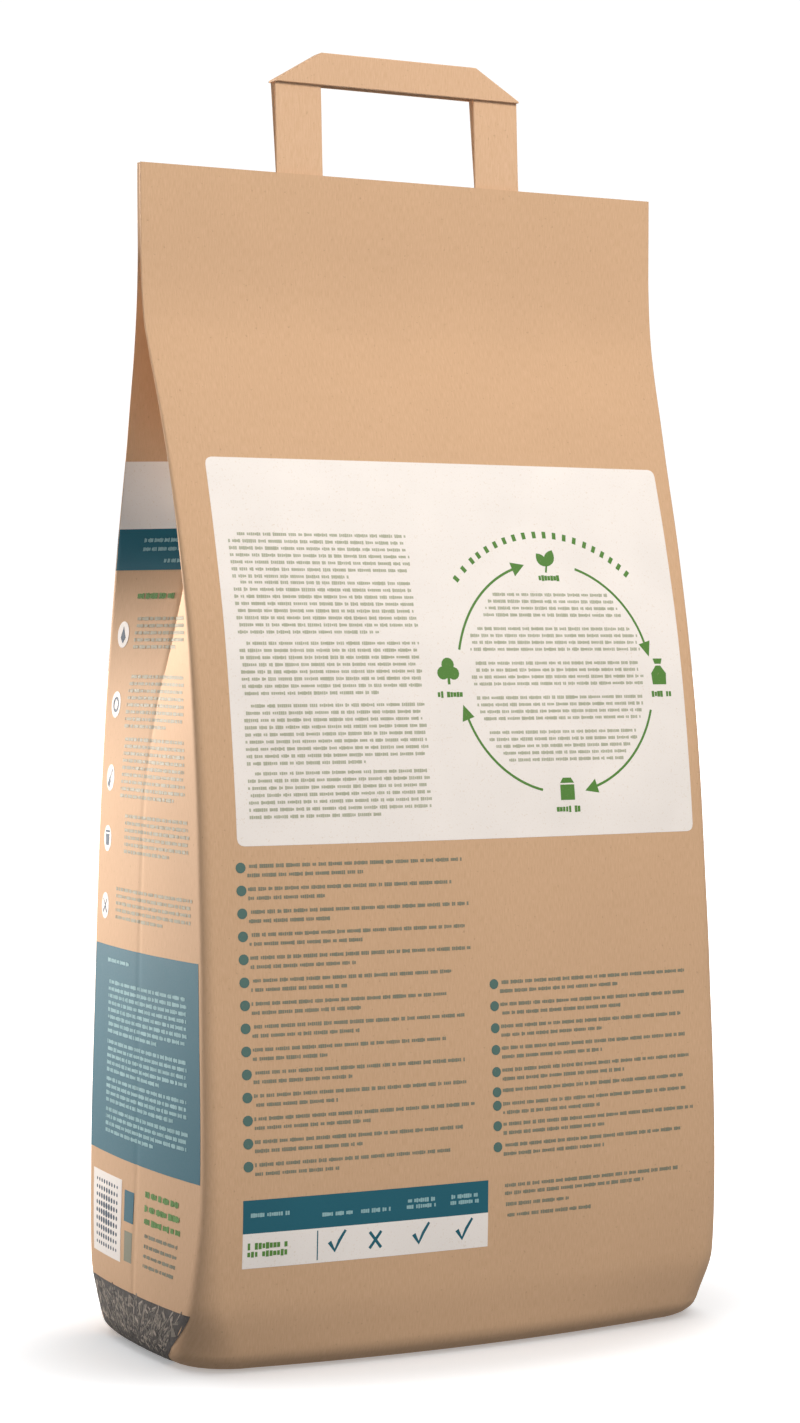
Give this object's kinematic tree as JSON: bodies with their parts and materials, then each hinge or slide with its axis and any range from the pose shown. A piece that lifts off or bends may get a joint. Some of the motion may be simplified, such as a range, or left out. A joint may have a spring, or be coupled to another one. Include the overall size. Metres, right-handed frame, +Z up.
{
  "type": "cat litter bag",
  "caption": "Filled and sealed kraft-paper sack with side gussets, a block bottom, a flat top seam and a folded paper carrying strap, printed with a panel, text columns and a table.",
  "frame": {"origin": "bottom centre of the bag, on the surface that it stands on", "axes": "+Z up the bag to the strap, X across the printed front panel, -Y out of the printed front panel"},
  "size_m": [0.2658, 0.1432, 0.5697],
  "materials": {
    "kraft_sack": "uncoated brown kraft paper, matte, printed in white, teal, green and grey",
    "kraft_strap": "uncoated brown kraft paper, folded in several plies, unprinted"
  },
  "bodies": {
    "root": {"bag_body": "kraft_sack", "handle": "kraft_strap"}
  },
  "joints": []
}
